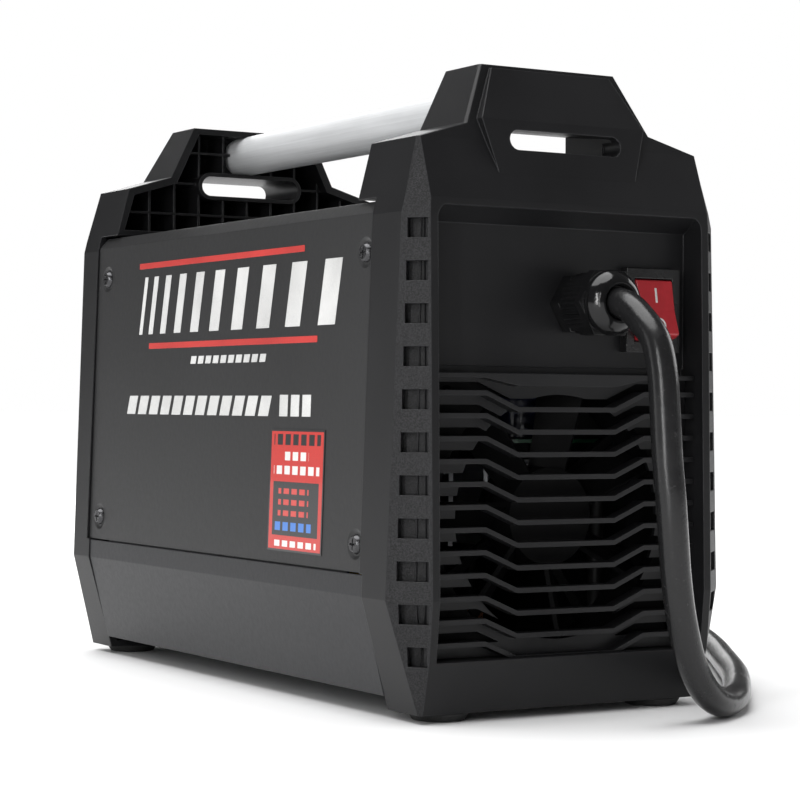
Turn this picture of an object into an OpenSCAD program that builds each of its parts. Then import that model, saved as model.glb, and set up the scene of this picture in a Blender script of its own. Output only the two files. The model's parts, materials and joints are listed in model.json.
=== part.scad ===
// Stick welding inverter: two moulded end frames joined by a folded cover, a
// tray and a round carrying handle, with the power stage inside.
// The origin is on the floor under the middle of the body; +Y is the mains end.

/* [End frames] */
// Height of the ear tops above the floor
ear_top = 270; // [255:1:285]
// Gap between the frame's underside and the floor
underside = 3.5; // [3:0.5:6]
// Distance from the middle of the body to the mouth of each frame
mouth = 122; // [116:1:126]
// Wall thickness of the mouldings
wall = 3; // [2.5:0.25:3.5]
// Spacing of the ribs in the hollow ears
rib_pitch = 14; // [12:0.5:18]
// Spacing of the corner vents
vent_pitch = 17.2; // [16.5:0.1:17.6]
// Number of vents in each corner strip
vent_count = 11; // [6:1:11]
// Height of one corner vent
vent_height = 8; // [5:0.5:10]

/* [End recesses] */
// Half width of the recess
recess_half = 66.5; // [64:0.5:67]
// Depth position of the recess floor
recess_floor = 156; // [154:0.5:158]

/* [Rear grille] */
// Number of bent slats
slat_count = 12; // [8:1:12]
// Spacing of the slats
slat_pitch = 9.3; // [9:0.1:9.6]
// Height of the top slat's outer ends
slat_top = 134.5; // [133:0.5:136]
// Drop of the middle of a slat below its ends
slat_drop = 6.7; // [0:0.1:8]
// Radius of the round fan opening
fan_opening = 51; // [45:0.5:54]
// Height of the fan's axis
fan_height = 82; // [80:1:84]

/* [Cover and tray] */
// Sheet thickness
sheet = 1.2; // [1:0.1:1.4]
// Top face of the cover
cover_top = 212; // [211:0.5:212.5]
// Lower edge of the cover
cover_low = 59.5; // [58.5:0.5:62]

/* [Handle] */
// Radius of the handle tube
tube_radius = 10; // [8:0.5:11]
// Height of the tube's axis
tube_height = 258; // [256:0.5:259]

/* [Mains inlet] */
// Sideways position of the gland's axis
gland_x = -9.8; // [-11:0.1:-8]
// Height of the gland's axis
gland_height = 171; // [165:0.5:176]
// Radius of the power cord
cord_radius = 6.2; // [5.5:0.05:6.4]
// Sideways position of the mains switch
switch_x = -47; // [-48:0.5:-44]
// Height of the mains switch
switch_height = 169.5; // [167:0.5:172]

/* [Output end] */
// Sideways position of the output sockets
socket_x = 38; // [34:1:42]
// Height of the output sockets
socket_height = 56; // [54:1:60]
// Bore radius of an output socket
socket_bore = 6.55; // [6.4:0.05:6.7]

/* [Put-away cord] */
// Centre of the coil, sideways
coil_x = -185; // [-200:5:-180]
// Centre of the coil, along the body
coil_y = -160; // [-170:5:-150]
// Middle radius of the flat coil of three turns
coil_radius = 65; // [63:0.5:66]

/* [Hidden] */

in_fit = 0.05;          // radial clearance of parts that fit into each other
frame_bottom = underside;
// strap slots: height, half height and how far the ceiling rises inward
rear_slot = [237.8, 4.2, 4.2];
front_slot = [241, 5, 0];
slot_half = 28;         // half length of a strap slot
cover_end_rear = 136.5; // where the cover meets the frames
cover_end_front = 142;
seam = 139;             // where the tray meets the frames
board_z = 112;
lip_end = 121.5;        // half length of the tray's flanges
recess_round = 6;       // rounding of a recess's upper corners

// section stations of an end frame, in order of height:
// height, side half width, side edge, face half width, face position
stations = [
  [frame_bottom, 71, 162.5, 69.5, 164],
  [25, 77, 160.5, 70, 169.5],
  [50, 84, 158.3, 70, 172],
  [206, 78.5, 160, 70.1, 168.5],
  [212, 77, 160, 69.8, 168.2],
  [237, 70.5, 157.6, 69.5, 159.3],
  [244, 47, 156.3, 46, 157.5],
  [ear_top, 34.3, 147.6, 33.5, 148.7]];
function column(k) = [for (s = stations) [s[0], s[k]]];
function side_x(z) = lookup(z, column(1));
function side_y(z) = lookup(z, column(2));
function face_x(z) = lookup(z, column(3));
function face_y(z) = lookup(z, column(4));

// stations moved inward to make the hollow of a frame
function inner(s) = let (edge = s[0] > 230 ? wall : wall * 0.45) [
  s[0] < frame_bottom + 1 ? s[0] + wall : s[0] > 230 ? s[0] - wall : s[0],
  s[1] - wall, s[2] - edge, s[3] - edge, s[4] - wall];
function ring(s, y0) = [
  [s[1], y0, s[0]], [s[1], s[2], s[0]], [s[3], s[4], s[0]],
  [-s[3], s[4], s[0]], [-s[1], s[2], s[0]], [-s[1], y0, s[0]]];

// solid through a stack of rings that all have the same number of points
module loft(rows) {
  n = len(rows[0]);
  m = len(rows);
  polyhedron(
    points = [for (r = rows) each r],
    faces = concat(
      [[for (j = [0 : n - 1]) j]],
      [[for (j = [n - 1 : -1 : 0]) (m - 1) * n + j]],
      [for (i = [0 : m - 2], j = [0 : n - 1])
        [i * n + j, (i + 1) * n + j, (i + 1) * n + (j + 1) % n]],
      [for (i = [0 : m - 2], j = [0 : n - 1])
        [i * n + j, (i + 1) * n + (j + 1) % n, i * n + (j + 1) % n]]));
}

// outlines drawn in X-Z and pushed along Y, and drawn in Y-Z and pushed along X
module along_y(y0, y1) {
  translate([0, y1, 0]) rotate([90, 0, 0]) linear_extrude(y1 - y0) children();
}
module along_x(x0, x1) {
  translate([x0, 0, 0]) rotate([90, 0, 90]) linear_extrude(x1 - x0) children();
}
module both() {
  children();
  mirror([1, 0, 0]) children();
}
module box(low, high) {
  translate(low) cube(high - low);
}
// round bar along +Y
module bar_y(x, y0, y1, z, r, r2 = 0, fn = 48) {
  translate([x, y0, z]) rotate([-90, 0, 0])
    cylinder(r1 = r, r2 = r2 > 0 ? r2 : r, h = y1 - y0, $fn = fn);
}
module ring_y(x, y0, y1, z, r, bore, fn = 48) {
  difference() {
    bar_y(x, y0, y1, z, r, 0, fn);
    bar_y(x, y0 - 1, y1 + 1, z, bore);
  }
}
// slot with round ends, long along X, pushed along Y
module stadium(y0, y1, z, half, r) {
  bar_y(half - r, y0, y1, z, r);
  bar_y(r - half, y0, y1, z, r);
  box([r - half, y0, z - r], [half - r, y1, z + r]);
}

// slot that opens upward towards the mouth of the frame, grown by a wall
module rising_sleeve(slot, start, grown) {
  low = slot[0] - slot[1] - 0.3 - grown;
  high = slot[0] + slot[1] - 0.2 + grown;
  along_x(1 - slot_half - grown, slot_half - 1 + grown)
    polygon([[157, low], [start, low], [start, high + slot[2]], [157, high]]);
}

// ---------------- end frames ----------------

// raised middle facet of an ear
module crown() {
  intersection() {
    along_y(140, 170)
      polygon([[30, 268.5], [41, 246], [34, 222], [-34, 222], [-41, 246], [-30, 268.5]]);
    along_x(-50, 50)
      polygon([[150, 222], [164.4, 222], [161, 246], [150.6, 268.5], [143, 268.5]]);
  }
}
module recess_walls() {
  along_x(-recess_half - 2.3, recess_half + 2.3)
    polygon([[recess_floor - wall, 22], [recess_floor - wall, 206], [166, 212.5],
             [185, 212.5], [185, 22]]);
}
module recess_void() {
  intersection() {
    along_x(-recess_half, recess_half)
      polygon([[recess_floor, 25], [recess_floor, 203], [167, 209], [185, 209.6], [185, 25]]);
    along_y(150, 190) polygon(concat([[-recess_half, 20], [recess_half, 20]],
      [for (a = [0 : 15 : 90]) [recess_half, 209.6] + recess_round * [cos(a) - 1, sin(a) - 1]],
      [for (a = [90 : -15 : 0]) [-recess_half, 209.6] + recess_round * [1 - cos(a), sin(a) - 1]]));
  }
}
// point on a corner strip, u = 0 at the side edge and 1 at the face edge
function strip_point(z, u) = [
  side_x(z) + (face_x(z) - side_x(z)) * u,
  side_y(z) + (face_y(z) - side_y(z)) * u];
function strip_normal(z) = let (d = strip_point(z, 1) - strip_point(z, 0))
  [d[1], -d[0]] / norm(d);
module corner_vents() {
  for (i = [0 : vent_count - 1]) {
    z = 195.4 - vent_pitch * i;
    m = z + vent_height / 2;
    n = strip_normal(m);
    a = strip_point(m, 0.22);
    b = strip_point(m, 0.92);
    both() translate([0, 0, z]) linear_extrude(vent_height)
      polygon([a + n * 4, b + n * 4, b - n * 5, a - n * 5]);
  }
}
// upright bar behind a corner strip, between depths d0 and d1 and widths u0 and u1
module strip_bar(u0, u1, d0, d1) {
  both() loft([for (z = [20, 50, 206])
    let (a = strip_point(z, u0), b = strip_point(z, u1), n = strip_normal(z))
      [for (q = [a - n * d0, b - n * d0, b - n * d1, a - n * d1]) [q[0], q[1], z]]]);
}
// thin rib across the corner vents, and the shade that closes the view behind them
module vent_backing() {
  strip_bar(0.55, 0.59, 1.6, 6);
  strip_bar(0.1, 0.95, 6, 7.2);
}
// strip of moulding inside the mouth that the cover is screwed to
module screw_lips() {
  both() along_y(mouth, 146)
    polygon([[side_x(62) - 9, 62], [side_x(62) - 2, 62],
             [side_x(208) - 2, 208], [side_x(208) - 9, 208]]);
}
module ear_ribs() {
  for (k = [-4 : 4]) box([rib_pitch * k - 0.6, 129, 215], [rib_pitch * k + 0.6, 168, 268]);
  for (z = [226, 242, 258]) box([-74, 129, z - 0.6], [74, 168, z + 0.6]);
  box([-76, mouth, 213.2], [76, 160, 216]);
}
module end_frame(cover_end, slot) {
  difference() {
    union() {
      loft([for (s = stations) ring(s, mouth)]);
      crown();
    }
    difference() {
      loft([for (s = stations) ring(inner(s), mouth - 1)]);
      recess_walls();
      screw_lips();
      ear_ribs();
      stadium(125, 168, slot[0], slot_half + 2, slot[1] + 2);
      if (slot[2] > 0) rising_sleeve(slot, mouth + 1, 1.6);
      bar_y(0, 136, 168, tube_height, 14);
      vent_backing();
    }
    recess_void();
    corner_vents();
    stadium(slot[2] > 0 ? 150 : 120, 170, slot[0], slot_half, slot[1]);
    if (slot[2] > 0) rising_sleeve(slot, mouth - 2, 0);
    bar_y(0, 120, 144, tube_height, tube_radius + in_fit);
    // step for the cover
    difference() {
      box([-90, mouth - 2, cover_low - 0.3], [90, cover_end + 0.2, 213.2]);
      along_y(mouth - 3, cover_end + 3)
        polygon([[80.8, cover_low - 1], [75.8, 208], [-75.8, 208], [-80.8, cover_low - 1]]);
    }
    // step for the tray
    box([-90, mouth - 2, 0], [90, seam + 0.1, cover_low - 0.3]);
    // screw holes for the cover
    both() for (z = [71, 191]) on_flank(130.5, z)
      translate([-16, 0, 0]) rotate([0, 90, 0]) cylinder(r = 2.05, h = 20, $fn = 32);
  }
}
module rear_frame() color([0.09, 0.09, 0.1]) difference() {
  end_frame(cover_end_rear, rear_slot);
  // window behind the grille
  box([-62, 150, 28], [62, 158, 138]);
  bar_y(gland_x, 150, 158, gland_height, 9.6);
  box([switch_x - 12.1, 150, switch_height - 15.1], [switch_x + 12.1, 158, switch_height + 15.1]);
  // groove between the inlet panel and the grille
  box([-recess_half, 154.8, 141.8], [recess_half, 157, 144.6]);
}
module front_frame() color([0.09, 0.09, 0.1]) rotate([0, 0, 180]) difference() {
  end_frame(cover_end_front, front_slot);
  for (s = [-1, 1]) bar_y(s * socket_x, 150, 158, socket_height, 14.2);
  for (k = [0 : 4]) box([-46, 150, 92 + 7 * k], [46, 158, 95.5 + 7 * k]);
  for (p = [[-24, 157], [36, 164]]) bar_y(p[0], 150, 158, p[1], 4);
  box([-46, 150, 176], [-8, 158, 194]);
  for (x = [8, 20]) bar_y(x, 150, 158, 192, 2.6);
}

// ---------------- rear grille ----------------

// bent path of one slat: outer ends high, middle low
function bend(z) = [[-66.2, z], [-40, z], [-24.5, z - slat_drop], [24.5, z - slat_drop],
  [40, z], [66.2, z]];
function lower_copy(path, h) = concat(path,
  [for (i = [len(path) - 1 : -1 : 0]) path[i] - [0, h]]);
module bent_bar(z, h, y0, y1) {
  along_y(y0, y1) polygon(lower_copy(bend(z), h));
}
module rear_grille() color([0.07, 0.07, 0.08]) {
  difference() {
    box([-66.2, 156.05, 25.2], [66.2, 158, 141.5]);
    bar_y(0, 155, 159, fan_height, fan_opening);
    intersection() {
      box([-60, 155, 31], [60, 159, 138]);
      for (i = [0 : slat_count - 1])
        bent_bar(slat_top - slat_pitch * i + 3.4, 3.4, 155, 159);
    }
  }
  intersection() {
    box([-67, 157, 25.2], [67, 165, 142]);
    for (i = [0 : slat_count - 1]) bent_bar(slat_top - slat_pitch * i, 2.1, 157.9, 164.5);
  }
  // top bar of the grille
  along_y(157.9, 164.5) polygon([[-66.2, 141.5], [66.2, 141.5], [66.2, 139.6], [40, 139.6],
    [24.5, 136.4], [-24.5, 136.4], [-40, 139.6], [-66.2, 139.6]]);
}

// ---------------- sheet metal ----------------

module cover_section(t) {
  polygon([[82.4 - t, cover_low - (t > 0 ? 1 : 0)], [77.5 - t, 207 - t * 0.4],
    [74.5 - t * 0.4, cover_top - t], [-74.5 + t * 0.4, cover_top - t],
    [-77.5 + t, 207 - t * 0.4], [-82.4 + t, cover_low - (t > 0 ? 1 : 0)]]);
}
// frame of reference on the left or right flank, with +X out of the sheet
module on_flank(y, z) {
  translate([82.4 - (z - cover_low) * 4.9 / (207 - cover_low), y, z])
    rotate([0, -1.9, 0]) children();
}
screw_spots = [[130.5, 71], [130.5, 191], [-130.5, 71], [-130.5, 191]];
module dimple(depth, r_out, r_in) {
  translate([0.01 - depth, 0, 0]) rotate([0, 90, 0])
    cylinder(r1 = r_in, r2 = r_out, h = depth, $fn = 40);
}
// round bar along +X
module bar_x(x0, x1, y, z, r, fn = 32) {
  translate([x0, y, z]) rotate([0, 90, 0]) cylinder(r = r, h = x1 - x0, $fn = fn);
}
module cover() color([0.16, 0.16, 0.17]) difference() {
  along_y(-cover_end_front, cover_end_rear) cover_section(0);
  along_y(-cover_end_front - 1, cover_end_rear + 1) cover_section(sheet);
  // shallow seats and holes for the screws
  both() for (p = screw_spots) on_flank(p[0], p[1]) {
    dimple(0.6, 6.5, 5);
    translate([-4, 0, 0]) rotate([0, 90, 0]) cylinder(r = 2.4, h = 6, $fn = 32);
  }
  // clipped corners beside the ears
  both() for (y = [-cover_end_front, cover_end_rear])
    translate([77, y, cover_top]) rotate([45, 0, 0]) cube([12, 5, 5], center = true);
}
module tray() color([0.2, 0.21, 0.23]) {
  difference() {
    along_y(-seam + 0.1, seam - 0.1) polygon([[72.8, 9], [83.4, 50], [83.2, 58.8],
      [-83.2, 58.8], [-83.4, 50], [-72.8, 9]]);
    along_y(-seam - 1, seam + 1) polygon([[71.9, 9 + sheet], [82.2, 50], [82, 60],
      [-82, 60], [-82.2, 50], [-71.9, 9 + sheet]]);
    for (y = [-90 : 20 : 90], x = [-30, 30]) box([x - 16, y - 2, 5], [x + 16, y + 2, 12]);
  }
  // flange that closes the seam behind the cover's lower edge
  both() along_y(-lip_end, lip_end)
    polygon([[82.9, 54], [82.9, 57.5], [80.7, 58.6], [80.4, 66], [79.4, 66], [79.7, 57], [82, 54]]);
}
// one cover screw: shank, pan head and cross recess
module flank_screw(y, z) {
  on_flank(y, z) difference() {
    union() {
      translate([-9, 0, 0]) rotate([0, 90, 0]) cylinder(r = 2, h = 8.5, $fn = 32);
      translate([-0.58, 0, 0]) rotate([0, 90, 0]) cylinder(r1 = 4.3, r2 = 3.1, h = 2, $fn = 40);
    }
    box([0.2, -2.3, -0.4], [2, 2.3, 0.4]);
    box([0.2, -0.4, -2.3], [2, 0.4, 2.3]);
  }
}
module cover_screws_left() color([0.3, 0.3, 0.31]) for (p = screw_spots) flank_screw(p[0], p[1]);
module cover_screws_right() color([0.3, 0.3, 0.31]) mirror([1, 0, 0])
  for (p = screw_spots) flank_screw(p[0], p[1]);
// thin self-adhesive plate low on the flank
module rating_label() color([0.7, 0.1, 0.08]) on_flank(78, 91)
  box([0.02, -24.4, -26.5], [0.3, 24.4, 26.5]);

module foot(x, y) color([0.05, 0.05, 0.05]) difference() {
  translate([x, y, 0]) cylinder(r1 = 11, r2 = 13, h = underside, $fn = 48);
  translate([x, y, -1]) cylinder(r = 4, h = 2.6, $fn = 32);
}
module foot_rear_left() foot(54, 151);
module foot_rear_right() foot(-54, 151);
module foot_front_left() foot(54, -151);
module foot_front_right() foot(-54, -151);

module handle_tube() color([0.72, 0.73, 0.75])
  ring_y(0, -143.6, 143.6, tube_height, tube_radius, tube_radius - 1.6, 64);

// ---------------- mains inlet ----------------

module gland_base() color([0.06, 0.06, 0.06]) difference() {
  union() {
    bar_y(gland_x, 143, 174, gland_height, 9.5);
    translate([gland_x, 162.5, gland_height]) rotate([90, 0, 0]) cylinder(r = 13.6, h = 6.4, $fn = 6);
  }
  bar_y(gland_x, 142, 175, gland_height, 7);
}
module gland_locknut() color([0.06, 0.06, 0.06]) difference() {
  translate([gland_x, 152.9, gland_height]) rotate([90, 30, 0]) cylinder(r = 13.5, h = 5, $fn = 6);
  bar_y(gland_x, 140, 155, gland_height, 9.5 + in_fit);
}
module gland_collar() color([0.06, 0.06, 0.06]) difference() {
  along_y(162.6, 176) translate([gland_x, gland_height]) polygon([for (i = [0 : 71])
    (i % 2 == 0 ? 13.3 : 12.3) * [cos(5 * i), sin(5 * i)]]);
  bar_y(gland_x, 160, 178, gland_height, 9.5 + in_fit);
}
module gland_cap() color([0.06, 0.06, 0.06]) difference() {
  union() {
    translate([gland_x, 180.4, gland_height]) rotate([90, 0, 0]) cylinder(r = 15.4, h = 4.2, $fn = 6);
    translate([gland_x, 180.3, gland_height]) rotate([-90, 0, 0]) rotate_extrude($fn = 64)
      polygon([[0, 0], [13.4, 0], [13.7, 1.4], [13.3, 3.2], [12.2, 5], [10.8, 6.6], [9.5, 7.7],
        [8.8, 8], [0, 8]]);
  }
  bar_y(gland_x, 175, 184.6, gland_height, 8);
  bar_y(gland_x, 184.5, 190, gland_height, 6.9);
  bar_y(gland_x, 187.2, 188.4, gland_height, 6.9, 8);
}
module gland_seal() color([0.03, 0.03, 0.03])
  ring_y(gland_x, 176.3, 184.4, gland_height, 8 - in_fit, cord_radius + in_fit);

// ---------------- mains switch ----------------

rocker_y = 159;
module switch_body() color([0.05, 0.05, 0.05]) difference() {
  union() {
    box([switch_x - 14, recess_floor, switch_height - 18], [switch_x + 14, 160.8, switch_height + 18]);
    box([switch_x - 11.9, 130, switch_height - 14.9], [switch_x + 11.9, 158, switch_height + 14.9]);
    for (z = [-8, 8], x = [-6, 6]) translate([switch_x + x, 120, switch_height + z])
      box([-3, 0, -0.4], [3, 11, 0.4]);
  }
  box([switch_x - 9.9, rocker_y, switch_height - 13.4], [switch_x + 9.9, 165, switch_height + 13.4]);
  bar_x(switch_x - 9.9, switch_x + 9.9, rocker_y, switch_height, 13.4, 64);
  bar_x(switch_x - 11.3, switch_x + 11.3, rocker_y, switch_height, 1.5 + in_fit);
}
module switch_rocker() color([0.75, 0.05, 0.06]) {
  intersection() {
    bar_x(switch_x - 9.5, switch_x + 9.5, rocker_y, switch_height, 13, 64);
    translate([0, rocker_y, switch_height]) along_x(switch_x - 9.5, switch_x + 9.5)
      polygon([[2.4, 13.1], [4.6, 0], [8.9, -13.1], [-4, -13.1], [-6, 0], [-4, 13.1]]);
  }
  bar_x(switch_x - 11.1, switch_x + 11.1, rocker_y, switch_height, 1.5);
}

// ---------------- fan ----------------

fan_front = 152.9;
module fan_frame() color([0.05, 0.05, 0.06]) difference() {
  union() {
    difference() {
      box([-60, fan_front - 25, fan_height - 60 + 0.5], [60, fan_front, fan_height + 60 - 0.5]);
      bar_y(0, 120, 160, fan_height, 56.5, 0, 96);
      // waist between the two flanges
      for (a = [0 : 90 : 270]) translate([0, fan_front - 12.5, fan_height]) rotate([0, a, 0])
        translate([56, -8.5, -56]) cube([10, 17, 20]);
    }
    bar_y(0, fan_front - 25, fan_front - 19, fan_height, 21);
    for (a = [35 : 90 : 305]) translate([0, fan_front - 25, fan_height]) rotate([0, a, 0])
      translate([18, 0, -2]) cube([40, 4, 4]);
  }
  for (x = [-52.5, 52.5], z = [-52.5, 52.5]) bar_y(x, 120, 160, fan_height + z, 2.2, 0, 32);
  bar_y(0, 120, 160, fan_height, 2.6, 0, 32);
}
module fan_rotor() color([0.07, 0.07, 0.08]) {
  difference() {
    bar_y(0, fan_front - 18.6, fan_front - 0.8, fan_height, 20.5);
    bar_y(0, fan_front - 20, fan_front - 15, fan_height, 18.5);
  }
  bar_y(0, fan_front - 24, fan_front - 3, fan_height, 2.55, 0, 32);
  for (i = [0 : 6]) translate([0, fan_front - 10, fan_height]) rotate([0, i * 360 / 7, 0])
    translate([19, 0, 0]) rotate([38, 0, 0])
      linear_extrude(2, center = true)
        polygon([[0, -8], [24, -9.5], [35.5, -11], [35.5, 10], [20, 9], [0, 8]]);
}
module fan_screws() color([0.6, 0.6, 0.62]) for (x = [-52.5, 52.5], z = [-52.5, 52.5]) {
  bar_y(x, fan_front - 27.4, fan_front - 25, fan_height + z, 4, 0, 32);
  bar_y(x, fan_front - 25.2, fan_front - 4, fan_height + z, 2.15, 0, 32);
}

// ---------------- power stage ----------------

module standoffs() color([0.65, 0.6, 0.4]) for (x = [-58, 58], y = [-104, 0, 104])
  translate([x, y, 9 + sheet]) cylinder(r = 3.5, h = board_z - 9 - sheet, $fn = 24);
module main_board() color([0.06, 0.3, 0.12]) box([-66, -112, board_z], [66, 112, board_z + 1.6]);
module heatsink(x0) color([0.6, 0.61, 0.63]) {
  box([x0, -88, board_z - 14], [x0 + 42, 88, board_z - 8]);
  for (k = [0 : 6]) box([x0 + 6.6 * k, -88, board_z - 46], [x0 + 6.6 * k + 2.2, 88, board_z - 13]);
}
module heatsink_left() heatsink(8);
module heatsink_right() heatsink(-50);
module power_modules() color([0.08, 0.08, 0.08]) for (s = [-1, 1], y = [-70 : 28 : 70])
  box([s * 29 - 10, y - 8, board_z - 8], [s * 29 + 10, y + 8, board_z]);
module transformer_core() color([0.14, 0.14, 0.15]) translate([0, -52, 9 + sheet]) difference() {
  box([-34, -16, 0], [34, 16, 52]);
  box([-24, -17, 11], [-9, 17, 41]);
  box([9, -17, 11], [24, 17, 41]);
}
module transformer_coil() color([0.75, 0.5, 0.15]) translate([0, -52, 9 + sheet]) difference() {
  box([-23.5, -28, 11.5], [23.5, 28, 40.5]);
  box([-9.3, -16.3, 10], [9.3, 16.3, 42]);
}
module choke_core() color([0.2, 0.2, 0.1]) translate([0, 40, 9 + sheet]) difference() {
  cylinder(r = 30, h = 26, $fn = 64);
  translate([0, 0, -1]) cylinder(r = 16, h = 28, $fn = 64);
}
module choke_coil() color([0.72, 0.42, 0.15]) translate([0, 40, 9 + sheet + 13])
  for (a = [0 : 30 : 330]) rotate([0, 0, a]) difference() {
    box([13, -2.2, -16.2 + 3.2], [33, 2.2, 16.2]);
    box([15.7, -3, -13.1], [30.3, 3, 13.1]);
  }
module bus_capacitors() color([0.1, 0.12, 0.3]) for (x = [-40, 0, 40])
  translate([x, 62, board_z + 1.6]) cylinder(r = 17.5, h = 50, $fn = 48);
module rectifier() color([0.07, 0.07, 0.07]) box([-45, 20, board_z + 1.6], [-10, 36, board_z + 12]);
module inrush_relay() color([0.1, 0.2, 0.45]) box([14, 14, board_z + 1.6], [42, 34, board_z + 22]);
module control_board() color([0.06, 0.28, 0.12]) difference() {
  box([-58, -139.6, 140], [58, -138, 202]);
  for (p = [[24, 157], [-36, 164]]) bar_y(p[0], -141, -137, p[1], 3.4, 0, 32);
}

// ---------------- output end ----------------

plate_face = -recess_floor;
module control_plate() color([0.14, 0.15, 0.16]) difference() {
  box([-60, plate_face - 1.2, 146], [60, plate_face, 200]);
  for (p = [[24, 157], [-36, 164]]) bar_y(p[0], plate_face - 3, plate_face + 1, p[1], 4);
  for (x = [-8, -20]) bar_y(x, plate_face - 3, plate_face + 1, 192, 2.6, 0, 32);
  box([9, plate_face - 3, 177], [45, plate_face + 1, 193]);
}
module display_window() color([0.25, 0.04, 0.04, 0.8])
  box([9.2, plate_face - 1.6, 177.2], [44.8, plate_face + 2, 192.8]);
module led(x) translate([x, plate_face + 16, 192]) rotate([90, 0, 0]) rotate_extrude($fn = 32)
  polygon([[0, 0], [2.5, 0], [2.5, 17.6], [1.9, 18.7], [0.8, 19.3], [0, 19.4]]);
module led_power() color([0.1, 0.8, 0.2]) led(-8);
module led_fault() color([0.9, 0.6, 0.1]) led(-20);
// knob with a fluted skirt and its shaft
module knob(p, r, h) translate([p[0], plate_face - 1.6, p[1]]) rotate([90, 0, 0]) {
  difference() {
    union() {
      cylinder(r1 = r, r2 = r * 0.94, h = 3, $fn = 64);
      linear_extrude(h) polygon([for (i = [0 : 35])
        (i % 2 == 0 ? 0.86 : 0.8) * r * [cos(10 * i), sin(10 * i)]]);
    }
    box([-0.7, r * 0.25, h - 0.8], [0.7, r * 0.95, h + 1]);
  }
  translate([0, 0, -16]) cylinder(r = 3, h = 17, $fn = 32);
}
module pot(p) {
  difference() {
    bar_y(p[0], -138, -128, p[1], 8);
    bar_y(p[0], -139, -130, p[1], 3 + in_fit, 0, 32);
  }
  difference() {
    bar_y(p[0], -152.8, -137.9, p[1], 3.35, 0, 32);
    bar_y(p[0], -153, -130, p[1], 3 + in_fit, 0, 32);
  }
}
module current_knob() color([0.08, 0.08, 0.08]) knob([24, 157], 13, 14.4);
module force_knob() color([0.08, 0.08, 0.08]) knob([-36, 164], 9, 12);
module current_pot() color([0.3, 0.3, 0.32]) pot([24, 157]);
module force_pot() color([0.3, 0.3, 0.32]) pot([-36, 164]);

// panel socket: insulating ring in front of the panel and body behind it
module panel_socket(x) color([0.05, 0.05, 0.05]) difference() {
  union() {
    bar_y(x, plate_face - 9, plate_face, socket_height, 16, 19);
    bar_y(x, plate_face - 0.1, plate_face + 14, socket_height, 14);
  }
  bar_y(x, plate_face - 10, plate_face + 20, socket_height, 9.5);
}
module contact(x) color([0.78, 0.62, 0.3]) difference() {
  union() {
    bar_y(x, plate_face - 5, plate_face + 14.5, socket_height, 9.45);
    bar_y(x, plate_face + 14, plate_face + 26, socket_height, 11);
  }
  bar_y(x, plate_face - 6, plate_face + 18, socket_height, socket_bore);
}
module socket_left() panel_socket(socket_x);
module socket_right() panel_socket(-socket_x);
module contact_left() contact(socket_x);
module contact_right() contact(-socket_x);
module bus_bar(s) color([0.8, 0.5, 0.3]) {
  back = plate_face + 26;
  box([s * socket_x - 9, back, socket_height - 9], [s * socket_x + 9, back + 2, board_z - 4]);
  box([s * socket_x - 9, back, board_z - 4], [s * socket_x + 9, -86, board_z - 2]);
}
module bus_bar_left() bus_bar(1);
module bus_bar_right() bus_bar(-1);

// ---------------- power cord ----------------

// the cord leaves the gland, hangs to the floor and runs round behind the body
cord_path = [[gland_x, 178, 171], [gland_x, 186, 171], [-9.8, 193.5, 168.9], [-9.9, 201.5, 163.9],
  [-10, 211.2, 155], [-10, 215.9, 142.1], [-10.2, 217.6, 125], [-10.8, 218.5, 107.1],
  [-12, 219.3, 91.1], [-13.6, 219.1, 75.1], [-16, 218, 59], [-20, 216.6, 41.9], [-27, 214.3, 24.5],
  [-37, 211.5, 12], [-51, 204.5, 6.5], [-69, 190, 6.5], [-92, 163, 6.5], [-120, 127, 6.5],
  [-150, 83, 6.5], [-182, 35, 6.5], [-212, -14, 6.5], [-237, -62, 6.5], [-254, -104, 6.5],
  [-261, -140, 6.5]];
coil_z = 6.5;
strand = 2 * cord_radius;
coil_entry = [coil_x - coil_radius - strand, coil_y, coil_z];

// even step from 0 to 1 between angles a and b
function ease(x, a, b) = let (t = max(0, min(1, (x - a) / (b - a)))) t * t * (3 - 2 * t);
// end of the cord: climbs off the inner turn, lies on the coil and rises to the plug
plug_angle = 230;
tail_start = 60;
function tail_point(a) = let (r = coil_radius - strand + 10 * ease(a, 115, 205))
  [coil_x + r * cos(a), coil_y + r * sin(a),
   coil_z + strand * ease(a, tail_start, 125) + 13 * ease(a, 160, plug_angle)];
tail_path = [for (k = [0 : 17]) tail_point(tail_start + (plug_angle - tail_start) * k / 17)];

// smooth line through the points of a route
function spline(a, b, c, d, t) = 0.5 * (2 * b + (c - a) * t
  + (2 * a - 5 * b + 4 * c - d) * t * t + (3 * b - a - 3 * c + d) * t * t * t);
function pick(p, i) = i < 0 ? 2 * p[0] - p[1]
  : i >= len(p) ? 2 * p[len(p) - 1] - p[len(p) - 2] : p[i];
function smooth(p, steps) = concat(
  [for (i = [0 : len(p) - 2], k = [0 : steps - 1])
    spline(pick(p, i - 1), p[i], p[i + 1], pick(p, i + 2), k / steps)],
  [p[len(p) - 1]]);
function heading(p, i) = let (d = p[min(i + 1, len(p) - 1)] - p[max(i - 1, 0)]) d / norm(d);
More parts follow.
